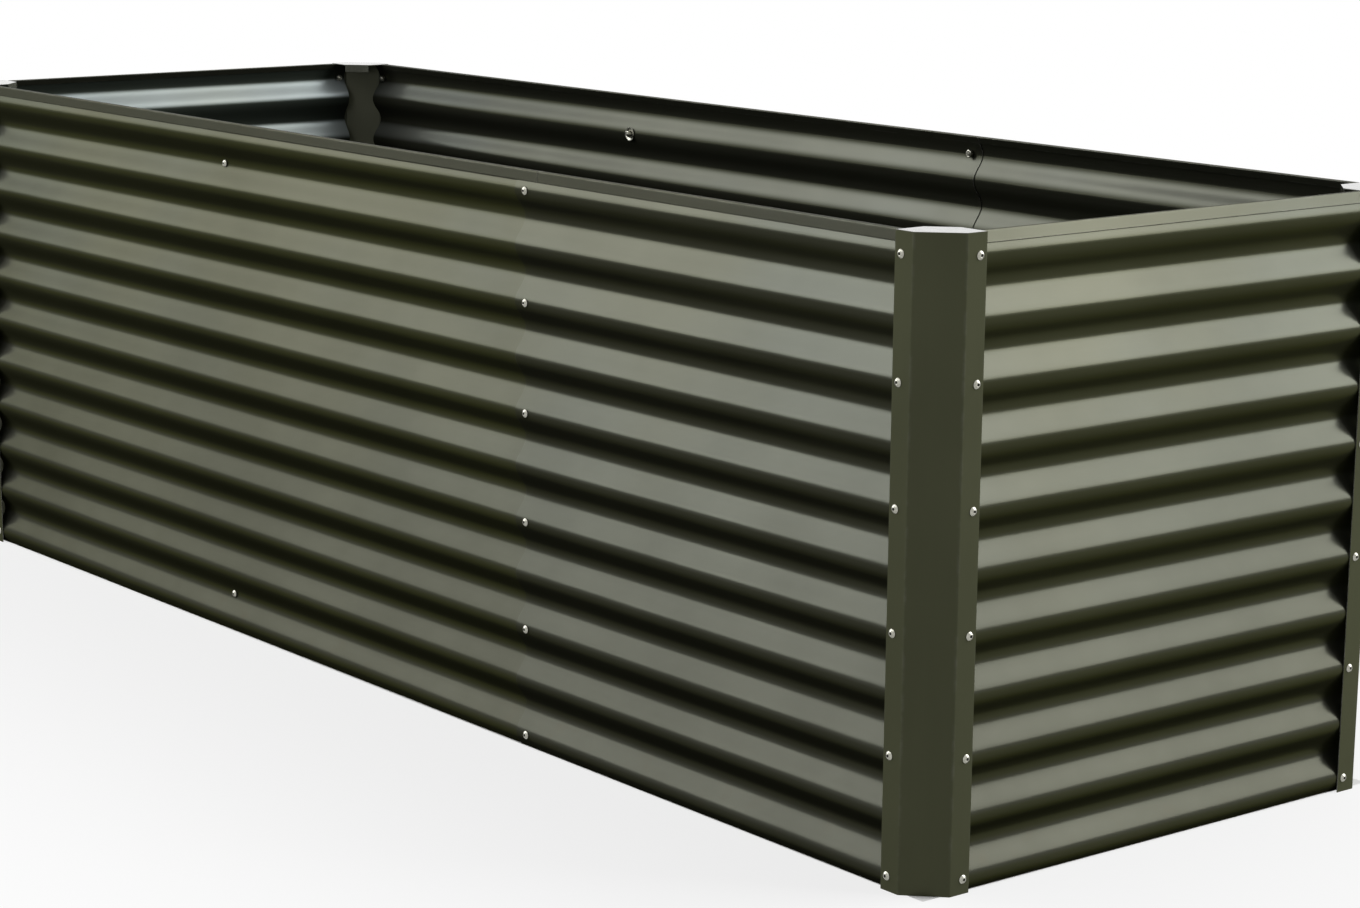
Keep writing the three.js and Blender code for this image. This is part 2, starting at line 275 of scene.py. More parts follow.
# what lies on it or shows through, and how strongly
SHADE = (0.0, 0.0, 0.0)
SHADE_SHARE = 0.16
DUST = (0.3, 0.29, 0.25)
DUST_SLOPES = (0.3, 0.9)
DUST_SHARE = 0.12
SOIL = (0.07, 0.058, 0.04)
SOIL_HEIGHTS = (0.12, 0.0)
SOIL_SHARE = 0.2
BARE = (0.25, 0.25, 0.23)
BARE_SHARE = 0.12
# its gloss, as roughness, on the sheets, the inside of the ends, and the posts
SHEET_GLOSS = 0.22
INSIDE_END_GLOSS = 0.38
POST_GLOSS = 0.34
GLOSS_SPREAD = 0.06
INSIDE_END_METAL = 0.25
# the depths of its bumps
STREAK_BUMP = 0.15 * MM
GRAIN_BUMP = 0.02 * MM


def scaled(tone, *shares):
    """A tone times one or more shares, each a number or a colour."""
    for share in shares:
        parts = (share,) * 3 if isinstance(share, float) else share
        tone = tuple(c * part for c, part in zip(tone, parts))
    return tone


def height_ramp_and_underside_shade(finish, tone, slopes, shade_below):
    """Paint darker towards the ground and lighter near the top, with a painted shade on the slopes that
    face down.
    """
    drift = finish.blotches(1.7, 2.0, 0.38, 0.62)
    high = finish.mix(drift, scaled(tone, TONE_AT_TOP, WARM), scaled(tone, TONE_AT_TOP, COOL))
    height_ramped = finish.mix(finish.spread(finish.height(), *TONE_RAMP_HEIGHTS), scaled(tone, TONE_AT_FOOT), high)
    return finish.mix(finish.spread(finish.facing_up(), *slopes), scaled(tone, shade_below), height_ramped)


def paint(name, tone, gloss, grain=ALONG, slopes=OUTER_SLOPES, shade_below=UNDERSIDE_SHADE, metal=METAL_SHARE):
    """Baked polyester paint on steel, with dust, soil splashes, rubbed edges, a rolled grain and painted
    shade.

    The grain is the stretch of its streaks, small along the way that the metal was rolled.
    Between the two slopes it goes from a painted shade, below, to the plain tone that faces the sky.
    The colour given for that shade is how deep it is, next to its plain tone.
    """
    finish = Finish(name, Metallic=metal, Specular_IOR_Level=0.0, Specular_Tint=EDGE_TINT)
    cloud = finish.blotches(4.0, 3.0, 0.3, 0.7)
    streaks = finish.noise(70.0, 4.0, grain, 0.6)
    shade = finish.math("ADD", finish.math("MULTIPLY", cloud, 0.6), finish.math("MULTIPLY", streaks, 0.4))
    dusty = finish.spread(finish.facing_up(), *DUST_SLOPES)
    dust = finish.math("MULTIPLY", dusty, finish.noise(26.0, 6.0))
    low = finish.spread(finish.height(), *SOIL_HEIGHTS)
    splash = finish.math("MULTIPLY", low, finish.blotches(40.0, 5.0, 0.5, 0.8))
    rubbed = finish.math("MULTIPLY", finish.attribute("edge"), finish.blotches(60.0, 4.0, 0.4, 0.7))
    colour = height_ramp_and_underside_shade(finish, tone, slopes, shade_below)
    colour = finish.stain(colour, shade, SHADE_SHARE, SHADE)
    colour = finish.stain(colour, dust, DUST_SHARE, DUST)
    colour = finish.stain(colour, splash, SOIL_SHARE, SOIL)
    finish.put("Base Color", finish.stain(colour, rubbed, BARE_SHARE, BARE))
    rough = finish.math("MULTIPLY", shade, GLOSS_SPREAD)
    finish.put("Roughness", finish.math("ADD", rough, gloss - GLOSS_SPREAD / 2))
    rolled = finish.bump(streaks, STREAK_BUMP)
    finish.put("Normal", finish.bump(finish.noise(900.0, 2.0), GRAIN_BUMP, rolled))
    return finish.material


def cut_steel():
    """The bare zinc and steel of a sheared edge."""
    finish = Finish("sheared_edge", Metallic=0.8)
    streaks = finish.spread(finish.noise(120.0, 5.0, (1, 1, 6)), 0.3, 0.7)
    finish.put("Base Color", finish.mix(streaks, (0.2, 0.2, 0.185), (0.42, 0.42, 0.4)))
    finish.put("Roughness", finish.spread(streaks, 0.0, 1.0, 0.35, 0.6))
    return finish.material


def zinc():
    """Bright zinc plate, a little clouded and with fine scratches."""
    finish = Finish("zinc_plate", Metallic=1.0)
    cloud = finish.blotches(420.0, 3.0, 0.3, 0.7)
    finish.put("Base Color", finish.mix(cloud, (0.32, 0.317, 0.27), (0.44, 0.435, 0.375)))
    scratches = finish.noise(1500.0, 2.0, (1, 1, 0.2))
    finish.put("Roughness", finish.spread(scratches, 0.2, 0.8, 0.2, 0.36))
    finish.put("Normal", finish.bump(scratches, 0.00001))
    return finish.material


def dirt_and_shade():
    """Dull, dirty zinc down in a bolt's socket, made dark enough to be a painted shade of the recess as
    well.
    """
    finish = Finish("socket_dirt_and_shade", Metallic=0.3)
    cloud = finish.blotches(600.0, 4.0, 0.3, 0.7)
    finish.put("Base Color", finish.mix(cloud, (0.03, 0.03, 0.024), (0.08, 0.078, 0.06)))
    finish.put("Roughness", finish.spread(cloud, 0.0, 1.0, 0.6, 0.8))
    return finish.material


def cap_gloss(tone):
    """The caps' glossy topcoat over paint, with faint smudges and rubbed edges."""
    finish = Finish("cap_gloss", Coat_Weight=1.0, Coat_Roughness=0.08)
    smudge = finish.blotches(45.0, 5.0, 0.35, 0.7)
    colour = finish.mix(smudge, scaled(tone, 0.9), scaled(tone, 1.15))
    rubbed = finish.math("MULTIPLY", finish.attribute("edge"), finish.noise(300.0, 3.0))
    finish.put("Base Color", finish.stain(colour, rubbed, 0.4, (0.3, 0.3, 0.28)))
    finish.put("Roughness", finish.spread(smudge, 0.0, 1.0, 0.14, 0.24))
    finish.put("Normal", finish.bump(finish.noise(700.0, 2.0), 0.00001))
    return finish.material


# the sheets' paints carry a painted shade on their undersides; the rim's and the posts' do not
sheet_paint = paint("sheet_paint", SHEET_TONE, SHEET_GLOSS)
short_sheet_paint = paint("short_sheet_paint", SHORT_TONE, SHEET_GLOSS, shade_below=SHORT_UNDERSIDE_SHADE)
inside_paint = paint(
    "inside_paint",
    INSIDE_TONE,
    SHEET_GLOSS,
    slopes=INNER_SLOPES,
    shade_below=INNER_UNDERSIDE_SHADE,
)
# a lit copy of the inside paint for the ends' insides: painted light in its lighter tone, and a deep
# painted shade below
inside_end_lit_paint = paint(
    "inside_end_lit_paint",
    INSIDE_END_LIT_TONE,
    INSIDE_END_GLOSS,
    slopes=INNER_END_SLOPES,
    shade_below=INNER_END_UNDERSIDE_SHADE,
    metal=INSIDE_END_METAL,
)
rim_paint = paint("rim_paint", RIM_TONE, SHEET_GLOSS, shade_below=NO_UNDERSIDE_SHADE)
post_paint = paint("post_paint", POST_TONE, POST_GLOSS, UPRIGHT, shade_below=NO_UNDERSIDE_SHADE)
# a lit copy of the post paint for the posts' inner faces, with painted light in its tone
post_inside_lit_paint = paint("post_inside_lit_paint", POST_INSIDE_LIT_TONE, POST_GLOSS, UPRIGHT, shade_below=NO_UNDERSIDE_SHADE)
edge_steel = cut_steel()
bright_zinc = zinc()
socket_dirt_and_shade = dirt_and_shade()
glossy_cap = cap_gloss(CAP_TONE)


# ---------- mesh tools ----------

def make_object(name, vertices, faces, materials, face_material=None, sharp=40):
    mesh = bpy.data.meshes.new(name)
    mesh.from_pydata([tuple(v) for v in vertices], [], faces)
    for material in materials:
        mesh.materials.append(material)
    if face_material is not None:
        mesh.polygons.foreach_set("material_index", face_material)
    mesh.shade_smooth()
    mesh.set_sharp_from_angle(angle=math.radians(sharp))
    mesh.update()
    piece = bpy.data.objects.new(name, mesh)
    bpy.context.scene.collection.objects.link(piece)
    return piece


def mark_edges(piece, weights):
    """Says how near each vertex lies to an edge or a bend, for the wear of the paint."""
    attribute = piece.data.attributes.new("edge", "FLOAT", "POINT")
    attribute.data.foreach_set("value", np.asarray(weights, np.float32).ravel())


def settle(piece, slot_name, *nodes):
    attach(piece, "root")
    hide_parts(*nodes)
    return piece


def swept_metal(name, outer, inner, materials, wear):
    """A closed strip of sheet metal from the grids of its two faces, stations by rows.

    The station direction crossed with the row direction points out of the outer face.
    The materials are those of the outer face, the inner face and the sheared edges.
    """
    stations, rows = outer.shape[:2]
    vertices = np.concatenate([outer.reshape(-1, 3), inner.reshape(-1, 3)])
    faces, kinds = [], []

    def at(station, row, side):
        return (side * stations + station) * rows + row

    for s in range(stations - 1):
        for r in range(rows - 1):
            faces.append((at(s, r, 0), at(s + 1, r, 0), at(s + 1, r + 1, 0), at(s, r + 1, 0)))
            faces.append((at(s, r, 1), at(s, r + 1, 1), at(s + 1, r + 1, 1), at(s + 1, r, 1)))
            kinds += [0, 1]
    last, top = stations - 1, rows - 1
    for s in range(last):
        faces.append((at(s, 0, 1), at(s + 1, 0, 1), at(s + 1, 0, 0), at(s, 0, 0)))
        faces.append((at(s, top, 0), at(s + 1, top, 0), at(s + 1, top, 1), at(s, top, 1)))
        kinds += [2, 2]
    for r in range(top):
        faces.append((at(0, r, 1), at(0, r, 0), at(0, r + 1, 0), at(0, r + 1, 1)))
        faces.append((at(last, r, 0), at(last, r, 1), at(last, r + 1, 1), at(last, r + 1, 0)))
        kinds += [2, 2]
    piece = make_object(name, vertices, faces, materials, kinds)
    mark_edges(piece, np.concatenate([wear.ravel(), wear.ravel()]))
    return piece


def stations_between(start, end, spacing):
    """Places along a strip, with one close to each end so that wear stays at the ends."""
    inner = np.linspace(start + EDGE_BAND, end - EDGE_BAND, int((end - start) / spacing) + 2)
    return np.concatenate([[start], inner, [end]])[:, None]


def folded(path, thickness, radius):
    """Outer and inner points of a folded strip whose path, its outer face, turns left."""
    path = [Vector(p) for p in path]
    along = [(b - a).normalized() for a, b in zip(path, path[1:])]
    normals = [Vector((d.y, -d.x)) for d in along]
    outer, inner, bends = [], [], []

    def put(centre, normal, reach, bend):
        outer.append(centre + normal * reach)
        inner.append(centre + normal * (reach - thickness))
        bends.append(bend)

    put(path[0], normals[0], 0, 1)
    put(path[0] + along[0] * EDGE_BAND, normals[0], 0, 0)
    for k in range(1, len(normals)):
        before, after = normals[k - 1 : k + 1]
        turn = math.atan2(before.x * after.y - before.y * after.x, before.dot(after))
        middle = (before + after).normalized()
        centre = path[k] - middle * (radius / math.cos(turn / 2))
        reach = radius * math.tan(turn / 2) + EDGE_BAND
        if (path[k] - path[k - 1]).length > 2 * reach:
            put(path[k] - along[k - 1] * reach, before, 0, 0)
        for step in range(BEND_STEPS + 1):
            normal = Matrix.Rotation(turn * step / BEND_STEPS, 2) @ before
            put(centre, normal, radius, 1)
        if (path[k + 1] - path[k]).length > 2 * reach:
            put(path[k] + along[k] * reach, after, 0, 0)
    put(path[-1] - along[-1] * EDGE_BAND, normals[-1], 0, 0)
    put(path[-1], normals[-1], 0, 1)
    return np.array(outer), np.array(inner), np.array(bends, float)


def turned(rings):
    """Vertices and faces of a closed body turned about X. A ring is a place and its radii."""
    count = TURN_STEPS
    angle = np.arange(count) * 2 * math.pi / count
    vertices = []
    for x, radius in rings:
        x = np.broadcast_to(x, count)
        radius = np.broadcast_to(radius, count)
        vertices.append(np.stack([x, radius * np.cos(angle), radius * np.sin(angle)], 1))
    faces = []
    for k in range(len(rings) - 1):
        for j in range(count):
            n = (j + 1) % count
            faces.append((k * count + j, k * count + n, (k + 1) * count + n, (k + 1) * count + j))
    return np.concatenate(vertices), faces


def hexagon(flats):
    angle = np.arange(TURN_STEPS) * 2 * math.pi / TURN_STEPS
    return flats / 2 / np.cos((angle % (math.pi / 3)) - math.pi / 6)


def dome(radius):
    """How high the domed top of a head is at a radius."""
    rise = HEAD_H - HEAD_RIM
    ball = (HEAD_R**2 + rise**2) / (2 * rise)
    return HEAD_H - ball + math.sqrt(ball**2 - radius**2)


def bolt_body(grip):
    """A domed head with a hexagon socket, a shank and a threaded end. The head sits at x = 0.

    The last number is the first of the faces inside the socket.
    """
    angle = np.arange(TURN_STEPS) * 2 * math.pi / TURN_STEPS
    tip = -grip - NUT_H - BOLT_TAIL
    rings = [(tip, 0.0), (tip, BOLT_R - THREAD_DEPTH)]
    for k in range(1, int(THREADED / THREAD_PITCH) * THREAD_ROWS + 1):
        x = tip + k * THREAD_PITCH / THREAD_ROWS
        phase = (x / THREAD_PITCH - angle / (2 * math.pi)) % 1
        start = min(1.0, (x - tip) / THREAD_PITCH)
        rings.append((x, BOLT_R - THREAD_DEPTH + start * THREAD_DEPTH * (1 - np.abs(2 * phase - 1))))
    rings += [(tip + THREADED + THREAD_PITCH / 2, BOLT_R), (0.0, BOLT_R), (0.0, HEAD_R - 0.2 * MM)]
    rings.append((0.2 * MM, HEAD_R))
    mouth = 1.1 * SOCKET_FLATS / 2 / math.cos(math.pi / 6)
    for r in np.linspace(HEAD_R, mouth, 9):
        rings.append((dome(r), r))
    socket = hexagon(SOCKET_FLATS)
    floor = dome(mouth) - SOCKET_DEPTH
    rings += [(dome(mouth) - 0.1 * MM, socket), (floor, socket), (floor - 0.5 * MM, 0.0)]
    vertices, faces = turned(rings)
    return vertices, faces, len(faces) - 2 * TURN_STEPS


def nut_body():
    """A hexagon nut with chamfered corners. Its outer face is at x = 0."""
    corners = hexagon(NUT_FLATS)
    face = 0.96 * NUT_FLATS / 2
    drop = (corners - face) * math.tan(math.radians(30))
    bore = BOLT_R + 0.05 * MM
    rings = [
        (-NUT_H, bore),
        (-NUT_H, face),
        (-NUT_H + drop, corners),
        (-drop, corners),
        (0.0, face),
        (0.0, bore),
        (-NUT_H, bore),
    ]
    return *turned(rings), None


def washer_body():
    """A flat washer with softened rims. Its outer face is at x = 0."""
    soft = 0.2 * MM
    bore = BOLT_R + GAP
    rings = [
        (-WASHER_T, bore),
        (-WASHER_T, WASHER_R - soft),
        (-WASHER_T + soft, WASHER_R),
        (-soft, WASHER_R),
        (0.0, WASHER_R - soft),
        (0.0, bore),
        (-WASHER_T, bore),
    ]
    return *turned(rings), None


def fasteners(name, body, places, slot_name, *nodes):
    """Copies of a turned body, each at a point with its X axis along a direction.

    Dirt and a painted shade of the recess lie in its socket, which is the last of its faces, if it has
    one.
    """
    local, local_faces, socket = body
    vertices, faces, kinds = [], [], []
    for point, outward in places:
        spin = Matrix.Rotation(random.uniform(0, math.tau), 3, "X")
        turn = Vector((1, 0, 0)).rotation_difference(outward).to_matrix() @ spin
        start = sum(len(v) for v in vertices)
        vertices.append(local @ np.array(turn).T + np.array(point))
        faces += [tuple(start + i for i in face) for face in local_faces]
        kinds += [int(socket is not None and k >= socket) for k in range(len(local_faces))]
    finishes = [bright_zinc, socket_dirt_and_shade]
    piece = make_object(name, np.concatenate(vertices), faces, finishes, kinds, sharp=32)
    weld(piece)
    return settle(piece, slot_name, *nodes)


def weld(piece):
    """Joins the points that lie together at the ends of a turned body."""
    work = bmesh.new()
    work.from_mesh(piece.data)
    bmesh.ops.remove_doubles(work, verts=work.verts, dist=1e-7)
    bmesh.ops.dissolve_degenerate(work, edges=work.edges, dist=1e-7)
    work.to_mesh(piece.data)
    work.free()
    piece.data.update()


# ---------- sheets ----------

def wave_depth(from_crest):
    return WAVE_DEPTH / 2 * (1 - np.cos(2 * math.pi * from_crest / PITCH))


def wave_normal(from_crest):
    slope = math.pi * WAVE_DEPTH / PITCH * np.sin(2 * math.pi * from_crest / PITCH)
    length = np.hypot(1, slope)
    return np.stack([1 / length, slope / length], -1)


# which way the lip above the top crest faces, and which way it runs up
LIP_OUT = wave_normal(LIP_RISE)
LIP_UP = np.array([-LIP_OUT[1], LIP_OUT[0]])


def buckle(along, rise, seed):
    """Small swells of a thin sheet, in the direction of its face."""
    swell = np.zeros(np.broadcast(along, rise).shape)
    for k, (length, height) in enumerate(BUCKLE_WAVES):
        turn = seed * (1.7 + k) + 2.1 * k
        along_wave = np.sin(math.tau * along / length + turn)
        rise_wave = np.sin(math.tau * rise / height + 1.3 * turn)
        swell += along_wave * rise_wave / (1 + k)
    return BUCKLE * swell


def sheet_rows(top):
    """Outer and inner points of a sheet's section, from its bottom edge to its tip."""
    lip_start = TOP_CREST + LIP_RISE
    rows = int(round(lip_start / PITCH * ROWS_PER_PITCH))
    height = np.linspace(0, lip_start, rows + 1)
    outer = np.stack([-wave_depth(height - TOP_CREST), height], 1)
    inner = outer - SHEET_T * wave_normal(height - TOP_CREST)
    inner[0, 1] = 0
    steps = (np.arange(1, 5) / 4)[:, None] * (top - lip_start) / LIP_UP[1]
    lip = outer[-1] + steps * LIP_UP
    return np.concatenate([outer, lip]), np.concatenate([inner, lip - SHEET_T * LIP_OUT])


def wall_span(node, wall):
    """Where a node starts and ends along its wall, and how far out it reaches."""
    outward = WALLS[wall]
    along = UP.cross(outward)
    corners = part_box(node)
    span = sorted(corner.dot(along) for corner in corners)
    return span[0], span[1], max(corner.dot(outward) for corner in corners)


def wall_points(wall, out, along, rise):
    outward = np.array(WALLS[wall])
    forward = np.array(UP.cross(WALLS[wall]))
    out, along, rise = [part[..., None] for part in np.broadcast_arrays(out, along, rise)]
    return out * outward + along * forward + rise * np.array(UP)


def add_sheet(node, wall, seed, lap_end=None):
    """A sheet of a wall. With a lap end given, it leans in towards that end of its span."""
    start, end, crest = wall_span(node, wall)
    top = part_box(node)[1].z
    outer, inner = sheet_rows(top)
    stations = stations_between(start, end, STATION)
    lean = np.zeros_like(stations)
    if lap_end is not None:
        post_end = start if lap_end == end else end
        lean = LAP_SHIFT * (stations - post_end) / (lap_end - post_end)
        crest = WALL_LINE[wall] - POST_T - GAP
    free = np.clip(np.minimum(stations - start, end - stations) / BUCKLE_CLEAR, 0, 1)
    free = free * np.clip((TOP_CREST - outer[None, :, 1]) / BUCKLE_CLEAR, 0, 1)
    swell = buckle(stations, outer[None, :, 1], seed) * free
    faces = []
    for rows in (outer, inner):
        out = crest + rows[None, :, 0] - lean + swell
        faces.append(wall_points(wall, out, stations, rows[None, :, 1]))
    wear = np.zeros(faces[0].shape[:2])
    wear[[0, -1]] = 1
    wear[:, 0] = 1
    outside = short_sheet_paint if "short" in node else sheet_paint
    # the ends' insides take the lit copy of the inside paint, with its painted light
    inside = inside_end_lit_paint if wall in ("left", "right") else inside_paint
    piece = swept_metal(node + "_steel", *faces, [outside, inside, edge_steel], wear)
    return settle(piece, "sheet_paint", node)


def long_sheet(node, wall, seed):
    start, end, _ = wall_span(node, wall)
    lap_end = end if wall == "front" else start
    return add_sheet(node, wall, seed, lap_end)


add_sheet("right_end_sheet", "right", 1.0)
add_sheet("left_end_sheet", "left", 2.3)
for seed, side in enumerate(("front", "back")):
    add_sheet(side + "_short_sheet", side, 3.1 + seed)
    long_sheet(side + "_long_sheet", side, 5.2 + seed)


# ---------- capping ----------

def add_capping(node, wall):
    """A folded channel over the sheets' lips, where its node lies."""
    start, end, reach = wall_span(node, wall)
    low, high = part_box(node)
    inner_reach = min(corner.dot(WALLS[wall]) for corner in (low, high))
    foot_out = reach + RIM_PROUD
    foot = low.z - RIM_DROP
    corner_out = foot_out - (high.z - foot) * math.tan(math.radians(RIM_LEAN[wall]))
    path = [
        (foot_out, foot),
        (corner_out, high.z),
        (inner_reach, high.z),
        (inner_reach - RIM_INNER_LEG * LIP_UP[0], high.z - RIM_INNER_LEG * LIP_UP[1]),
    ]
    outer, inner, bends = folded(path, RIM_T, RIM_BEND_R)
    stations = stations_between(start, end, 2 * STATION)
    faces = []
    for rows in (outer, inner):
        faces.append(wall_points(wall, rows[None, :, 0], stations, rows[None, :, 1]))
    wear = np.tile(bends, (len(stations), 1))
    wear[[0, -1]] = 1
    piece = swept_metal(node + "_steel", *faces, [rim_paint, inside_paint, edge_steel], wear)
    for face in piece.data.polygons:
        faces_in = face.normal.dot(WALLS[wall]) < -0.5
        if face.material_index == 0 and faces_in:
            face.material_index = 1
    return settle(piece, "sheet_paint", node)


add_capping("right_end_capping", "right")
add_capping("left_end_capping", "left")
for side in ("front", "back"):
    add_capping(side + "_short_capping", side)
    add_capping(side + "_long_capping", side)


# ---------- posts and their caps ----------

# each post's outward directions along X and Y
CORNERS = {
    "front_right": (1, -1),
    "back_right": (1, 1),
    "back_left": (-1, 1),
    "front_left": (-1, -1),
}
POST_FACE = POST_FLANGE + POST_CHAMFER


def corner_points(corner, across_x, across_y, rise):
    """Turns points drawn for the front right corner, with the bed towards -X and +Y."""
    side_x, side_y = CORNERS[corner]
    quarter = {(1, -1): 0, (1, 1): 1, (-1, 1): 2, (-1, -1): 3}[(side_x, side_y)]
    turn = quarter * math.pi / 2
    x = across_x * round(math.cos(turn)) - across_y * round(math.sin(turn))
    y = across_x * round(math.sin(turn)) + across_y * round(math.cos(turn))
    x, y, z = np.broadcast_arrays(x + side_x * LENGTH_HALF, y + side_y * WIDTH_HALF, rise)
    return np.stack([x, y, z], -1)


def add_post(corner):
    node = "post_" + corner
    path = [(-POST_FACE, 0), (-POST_CHAMFER, 0), (0, POST_CHAMFER), (0, POST_FACE)]
    outer, inner, bends = folded(path, POST_T, POST_BEND_R)
    levels = stations_between(0, HEIGHT, STATION)[::-1]
    faces = []
    for rows in (outer, inner):
        faces.append(corner_points(corner, rows[None, :, 0], rows[None, :, 1], levels))
    wear = np.tile(bends, (len(levels), 1))
    wear[[0, -1]] = 1
    # the posts' inner faces take the lit copy of the post paint, with its painted light
    piece = swept_metal(node + "_steel", *faces, [post_paint, post_inside_lit_paint, edge_steel], wear)
    settle(piece, "post_paint", node)
    add_post_bolts(corner, node)


def add_post_bolts(corner, node):
    bolt_at = POST_CHAMFER + BOLT_TO_FOLD
    heads, nuts = [], []
    for level in BOLT_LEVELS:
        for flat, outward in (((0, bolt_at), (1, 0)), ((-bolt_at, 0), (0, -1))):
            point = Vector(corner_points(corner, *flat, level))
            away = (flat[0] + outward[0], flat[1] + outward[1])
            direction = Vector(corner_points(corner, *away, level)) - point
            heads.append((point, direction))
            nuts.append((point - POST_GRIP * direction, direction))
    fasteners(node + "_bolts_zinc", bolt_body(POST_GRIP), heads, "zinc", node)
    fasteners(node + "_nuts_zinc", nut_body(), nuts, "zinc", node)


def add_cap(corner):
    """A plate whose corner into the bed is cut off, with a skirt below that edge."""
    edge = POST_T + GAP
    fold = POST_CHAMFER + edge * math.tan(math.pi / 8)
    cut = POST_FACE - CAP_INNER_CUT
    inward = CAP_T / math.sqrt(2)
    plate = [
        (-POST_FACE, edge),
        (-fold, edge),
        (-edge, fold),
        (-edge, POST_FACE),
        (-cut, POST_FACE),
        (-POST_FACE, cut),
    ]
    skirt = [
        (-cut, POST_FACE),
        (-POST_FACE, cut),
        (inward - POST_FACE, cut - inward),
        (inward - cut, POST_FACE - inward),
    ]
    top, under, foot = HEIGHT, HEIGHT - CAP_T, HEIGHT - CAP_SKIRT
    flat = np.array(plate + plate + skirt[2:] + skirt)
    rise = np.array([top] * 6 + [under] * 8 + [foot] * 4)
    faces = [
        tuple(range(6)),
        (6, 11, 12, 13, 10, 9, 8, 7),
        *((6 + i, 6 + (i + 1) % 6, (i + 1) % 6, i) for i in range(6)),
        (14, 15, 11, 10),
        (15, 16, 12, 11),
        (16, 17, 13, 12),
        (17, 14, 10, 13),
        (17, 16, 15, 14),
    ]
    vertices = corner_points(corner, flat[:, 0], flat[:, 1], rise)
    piece = make_object("post_cap_" + corner + "_plate", vertices, faces, [glossy_cap])
    rounding = piece.modifiers.new("rounding", "BEVEL")
    rounding.width = CAP_ROUNDING
    rounding.segments = 3
    rounding.limit_method = "ANGLE"
    mark_edges(piece, np.ones(len(vertices)))
    return settle(piece, "cap_finish", "post_cap_" + corner)


for corner in CORNERS:
    add_post(corner)
    add_cap(corner)


# ---------- bolts, nuts and washers of the walls ----------

def seat(node, wall, outer_face):
    """Where a fastener's outer face or head seat lies, from its node."""
    low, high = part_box(node)
    outward = WALLS[wall]
    middle = (low + high) / 2
    reach = max(low.dot(outward), high.dot(outward)) - outer_face
    return middle + outward * (reach - middle.dot(outward))


def add_fastener(wall, bolt, nut, washer=None):
    outward = WALLS[wall]
    head = seat(bolt, wall, HEAD_H)
    nut_face = seat(nut, wall, 0)
    grip = (head - nut_face).dot(outward)
    fasteners(bolt + "_zinc", bolt_body(grip), [(head, outward)], "zinc", bolt)
    fasteners(nut + "_zinc", nut_body(), [(nut_face, outward)], "zinc", nut)
    if washer:
        fasteners(washer + "_zinc", washer_body(), [(seat(washer, wall, 0), outward)], "zinc", washer)


for side in ("front", "back"):
    for i in range(1, len(BOLT_LEVELS) + 1):
        add_fastener(side, f"{side}_seam_bolt_{i}", f"{side}_seam_nut_{i}")
    for level in ("upper", "lower"):
        names = [f"{side}_tie_{kind}_{level}" for kind in ("bolt", "nut", "washer")]
        add_fastener(side, *names)


# ---------- camera ----------

CAMERA_PLACE = Vector((3.8057, -2.8335, 1.2486))
CAMERA_AZIMUTH = math.radians(52.164)
CAMERA_ELEVATION = math.radians(12.766)
CAMERA_ROLL = math.radians(0.344)
LENS = 85.26
SHIFT = (0.0251, 0.0560)


def add_camera():
    camera = bpy.data.cameras.new("photo_view")
    camera.sensor_fit = "HORIZONTAL"
    camera.sensor_width = 36
    camera.lens = LENS
    camera.shift_x, camera.shift_y = SHIFT
    holder = bpy.data.objects.new("photo_view", camera)
    turn = (
        Matrix.Rotation(CAMERA_AZIMUTH, 4, "Z")
        @ Matrix.Rotation(math.pi / 2 - CAMERA_ELEVATION, 4, "X")
        @ Matrix.Rotation(CAMERA_ROLL, 4, "Z")
    )
    holder.matrix_world = Matrix.Translation(CAMERA_PLACE) @ turn
    bpy.context.scene.collection.objects.link(holder)
    bpy.context.scene.camera = holder


# ---------- light and floor ----------

AMBIENT = 0.12
FLOOR_HALF = 60
# the floor's colour as it is seen and mirrored, and as it lights the bed from below, which is
# kept low so that the undersides stay dark
FLOOR_PALE = (0.86, 0.86, 0.86)
FLOOR_BOUNCE = (0.17, 0.17, 0.12)
# share of plain white in the floor at the bed's foot, where it stays shaded, and further away
FLOOR_GLOW_NEAR = 0.75
FLOOR_GLOW_MID = 0.92
FLOOR_NEAR = (0.0, 0.9)
FLOOR_FAR = (1.2, 5.0)
# how far it reaches in under the sheets, up to their bottom edges
FLOOR_INSET = 8 * MM


def seen_directly(nodes, links):
    """1 for camera, glossy and transmission rays, so that metal shows the background too."""
    path = nodes.new("ShaderNodeLightPath")
    total = path.outputs["Is Camera Ray"]
    for ray in ("Is Glossy Ray", "Is Transmission Ray"):
        node = nodes.new("ShaderNodeMath")
        node.operation = "MAXIMUM"
        links.new(total, node.inputs[0])
        links.new(path.outputs[ray], node.inputs[1])
        total = node.outputs[0]
    return total


def distance_from_bed(finish):
    """How far a point of the floor lies from the bed's footprint, and 0 inside it."""
    source = finish.place
    for operation, value in (
        ("ABSOLUTE", None),
        ("SUBTRACT", (LENGTH_HALF - FLOOR_INSET, WIDTH_HALF - FLOOR_INSET, 0)),
        ("MAXIMUM", (0, 0, 0)),
        ("LENGTH", None),
    ):
        node = finish.nodes.new("ShaderNodeVectorMath")
        node.operation = operation
        finish.link(source, node.inputs[0])
        if value is not None:
            node.inputs[1].default_value = value
        source = node.outputs["Value" if operation == "LENGTH" else "Vector"]
    return source


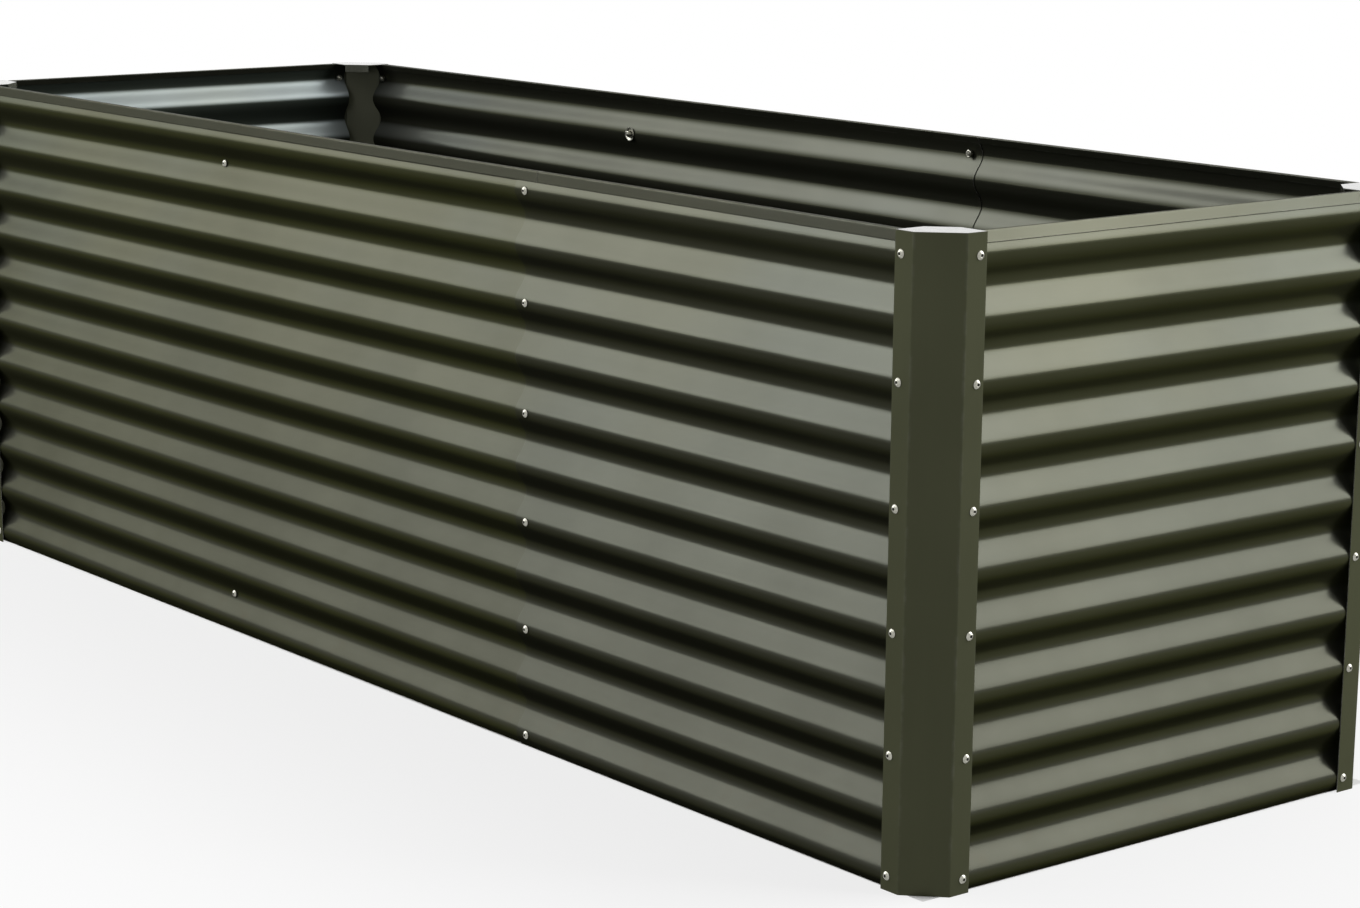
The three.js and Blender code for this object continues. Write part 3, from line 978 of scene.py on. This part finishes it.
def add_floor():
    corners = [(x, y, 0) for x, y in ((-1, -1), (1, -1), (1, 1), (-1, 1))]
    mesh = bpy.data.meshes.new("floor")
    mesh.from_pydata([(FLOOR_HALF * x, FLOOR_HALF * y, z) for x, y, z in corners], [], [(0, 1, 2, 3)])
    floor = bpy.data.objects.new("floor", mesh)
    bpy.context.scene.collection.objects.link(floor)
    finish = Finish("pale_floor", Roughness=0.9, Specular_IOR_Level=0.0)
    shown = seen_directly(finish.nodes, finish.links)
    finish.put("Base Color", finish.mix(shown, FLOOR_BOUNCE, FLOOR_PALE))
    away = distance_from_bed(finish)
    near = finish.spread(away, *FLOOR_NEAR, FLOOR_GLOW_NEAR, FLOOR_GLOW_MID)
    far = finish.spread(away, *FLOOR_FAR, 0.0, 1 - FLOOR_GLOW_MID)
    outside = finish.math("GREATER_THAN", away, 0.0)
    white = finish.math("MULTIPLY", finish.math("ADD", near, far), outside)
    glow = finish.nodes.new("ShaderNodeEmission")
    blend = finish.nodes.new("ShaderNodeMixShader")
    finish.link(finish.math("MULTIPLY", white, shown), blend.inputs[0])
    finish.link(finish.shader.outputs[0], blend.inputs[1])
    finish.link(glow.outputs[0], blend.inputs[2])
    finish.link(blend.outputs[0], finish.nodes["Material Output"].inputs["Surface"])
    mesh.materials.append(finish.material)


def add_world():
    world = bpy.data.worlds.new("studio")
    world.use_nodes = True
    nodes, links = world.node_tree.nodes, world.node_tree.links
    background = nodes["Background"]
    shown = seen_directly(nodes, links)
    strength = nodes.new("ShaderNodeMapRange")
    links.new(shown, strength.inputs["Value"])
    strength.inputs["To Min"].default_value = AMBIENT
    strength.inputs["To Max"].default_value = 1.0
    background.inputs["Color"].default_value = (1, 1, 1, 1)
    links.new(strength.outputs["Result"], background.inputs["Strength"])
    bpy.context.scene.world = world


def softbox(name, place, aim, size, axis, span, radiance):
    """A soft panel whose radiance goes from one value to the other over a span of an axis."""
    light = bpy.data.lights.new(name, "AREA")
    light.shape = "RECTANGLE"
    light.size, light.size_y = size
    light.energy = math.pi * size[0] * size[1]
    light.use_nodes = True
    nodes, links = light.node_tree.nodes, light.node_tree.links
    where = nodes.new("ShaderNodeSeparateXYZ")
    links.new(nodes.new("ShaderNodeNewGeometry").outputs["Position"], where.inputs["Vector"])
    grow = nodes.new("ShaderNodeMapRange")
    links.new(where.outputs[axis], grow.inputs["Value"])
    for socket, value in zip(RANGE_SOCKETS, (*span, *radiance)):
        grow.inputs[socket].default_value = value
    links.new(grow.outputs["Result"], nodes["Emission"].inputs["Strength"])
    holder = bpy.data.objects.new(name, light)
    holder.location = place
    holder.rotation_euler = (Vector(aim) - Vector(place)).to_track_quat("-Z", "Y").to_euler()
    holder.visible_camera = False
    bpy.context.scene.collection.objects.link(holder)


add_camera()
add_floor()
add_world()
# the two that make the light bands, and two weak ones for the other views
softbox("left_box", (-4.4, -3.1, 3.2), (0, -0.2, 0.5), (4.0, 4.4), "Y", (-5.0, -4.0), (6.4, 3.8))
softbox("right_box", (3.4, 3.9, 3.4), (0.6, 0, 0.5), (4.2, 4.8), "Z", (1.4, 5.4), (5.8, 5.2))
softbox("front_box", (0.2, -4.0, 4.6), (0, 0, 0.4), (4.0, 2.6), "Z", (3.0, 6.0), (1.5, 1.5))
softbox("back_box", (-0.8, 4.4, 4.6), (-0.2, 0, 0.4), (3.2, 2.6), "Z", (3.0, 6.0), (1.5, 1.5))
bpy.context.scene.view_settings.view_transform = "Standard"
